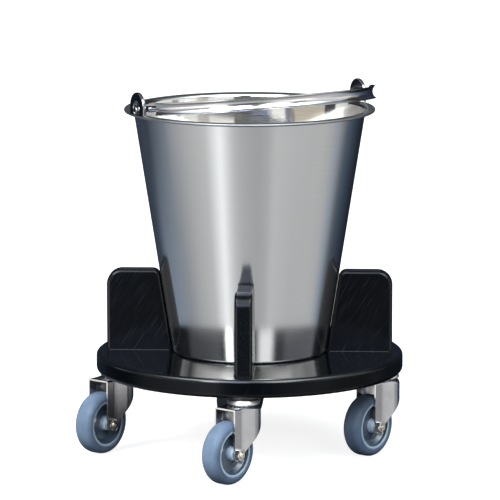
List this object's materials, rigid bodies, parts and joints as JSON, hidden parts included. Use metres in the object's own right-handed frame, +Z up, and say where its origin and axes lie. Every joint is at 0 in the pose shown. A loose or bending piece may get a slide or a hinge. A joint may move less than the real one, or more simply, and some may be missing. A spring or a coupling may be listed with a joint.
{
  "type": "kick bucket with wheeled dolly",
  "caption": "Stainless steel pail with a swinging bail, standing loose between the upright fins of a round black plastic dolly on swivel casters.",
  "frame": {"origin": "on the floor, under the centre of the dolly disc", "axes": "+Z up; the four fins and the casters' swivel axes stand on +X, +Y, -X and -Y; the pail's ears lie on a line 30 degrees round from +X"},
  "size_m": [0.3969, 0.4086, 0.457],
  "materials": {
    "dolly_plastic": "satin black, lightly scratched",
    "pail_steel": "fine satin outside, polished inside",
    "ear_steel": "polished",
    "bail_steel": "polished",
    "fork_steel": "satin, bright cut edges",
    "race_chrome": "bright",
    "fastener_steel": "bright",
    "bush_steel": "plain",
    "brass": "plain",
    "spacer_plastic": "satin black",
    "wheel_plastic": "satin pale blue-grey",
    "tyre_rubber": "satin blue-grey"
  },
  "bodies": {
    "dolly": {"base_disc": "dolly_plastic", "fin_screws": "fastener_steel", "caster_inserts": "brass", "fin_right": "dolly_plastic", "fin_back": "dolly_plastic", "fin_left": "dolly_plastic", "fin_front": "dolly_plastic", "spacer_right": "spacer_plastic", "spacer_back": "spacer_plastic", "spacer_left": "spacer_plastic", "spacer_front": "spacer_plastic", "race_upper_right": "race_chrome", "race_upper_back": "race_chrome", "race_upper_left": "race_chrome", "race_upper_front": "race_chrome", "kingbolt_right": "fastener_steel", "kingbolt_back": "fastener_steel", "kingbolt_left": "fastener_steel", "kingbolt_front": "fastener_steel"},
    "pail": {"pail_shell": "pail_steel", "ear_right": "ear_steel", "ear_left": "ear_steel"},
    "bail": {"bail_strap": "bail_steel", "bail_hook_right": "bail_steel", "bail_hook_left": "bail_steel"},
    "caster_right": {"fork_right": "fork_steel", "race_lower_right": "fork_steel", "race_balls_right": "race_chrome", "axle_bolt_right": "fastener_steel", "axle_nut_right": "fastener_steel"},
    "wheel_right": {"axle_bush_right": "bush_steel", "wheel_centre_right": "wheel_plastic", "tyre_right": "tyre_rubber"},
    "caster_back": {"fork_back": "fork_steel", "race_lower_back": "fork_steel", "race_balls_back": "race_chrome", "axle_bolt_back": "fastener_steel", "axle_nut_back": "fastener_steel"},
    "wheel_back": {"axle_bush_back": "bush_steel", "wheel_centre_back": "wheel_plastic", "tyre_back": "tyre_rubber"},
    "caster_left": {"fork_left": "fork_steel", "race_lower_left": "fork_steel", "race_balls_left": "race_chrome", "axle_bolt_left": "fastener_steel", "axle_nut_left": "fastener_steel"},
    "wheel_left": {"axle_bush_left": "bush_steel", "wheel_centre_left": "wheel_plastic", "tyre_left": "tyre_rubber"},
    "caster_front": {"fork_front": "fork_steel", "race_lower_front": "fork_steel", "race_balls_front": "race_chrome", "axle_bolt_front": "fastener_steel", "axle_nut_front": "fastener_steel"},
    "wheel_front": {"axle_bush_front": "bush_steel", "wheel_centre_front": "wheel_plastic", "tyre_front": "tyre_rubber"}
  },
  "joints": [
    {"name": "pail_lift", "type": "slide", "parent": "dolly", "child": "pail", "axis": [0, 0, 1], "range_m": [0, 0.16]},
    {"name": "bail_swing", "type": "hinge", "parent": "pail", "child": "bail", "pos_m": [0, 0, 0.43225], "axis": [-0.8659, -0.4999, -0.0181], "range_deg": [0, 167.2]},
    {"name": "right_swivel", "type": "hinge", "parent": "dolly", "child": "caster_right", "pos_m": [0.163, 0, 0.0905], "axis": [0, 0, 1], "continuous": true},
    {"name": "back_swivel", "type": "hinge", "parent": "dolly", "child": "caster_back", "pos_m": [0, 0.163, 0.0905], "axis": [0, 0, 1], "continuous": true},
    {"name": "left_swivel", "type": "hinge", "parent": "dolly", "child": "caster_left", "pos_m": [-0.163, 0, 0.0905], "axis": [0, 0, 1], "continuous": true},
    {"name": "front_swivel", "type": "hinge", "parent": "dolly", "child": "caster_front", "pos_m": [0, -0.163, 0.0905], "axis": [0, 0, 1], "continuous": true},
    {"name": "right_wheel_spin", "type": "hinge", "parent": "caster_right", "child": "wheel_right", "pos_m": [0.14524, -0.02418, 0.0375], "axis": [0.8059, -0.592, 0], "continuous": true},
    {"name": "back_wheel_spin", "type": "hinge", "parent": "caster_back", "child": "wheel_back", "pos_m": [-0.01776, 0.13882, 0.0375], "axis": [0.8059, -0.592, 0], "continuous": true},
    {"name": "left_wheel_spin", "type": "hinge", "parent": "caster_left", "child": "wheel_left", "pos_m": [-0.18076, -0.02418, 0.0375], "axis": [0.8059, -0.592, 0], "continuous": true},
    {"name": "front_wheel_spin", "type": "hinge", "parent": "caster_front", "child": "wheel_front", "pos_m": [-0.01776, -0.18718, 0.0375], "axis": [0.8059, -0.592, 0], "continuous": true}
  ]
}
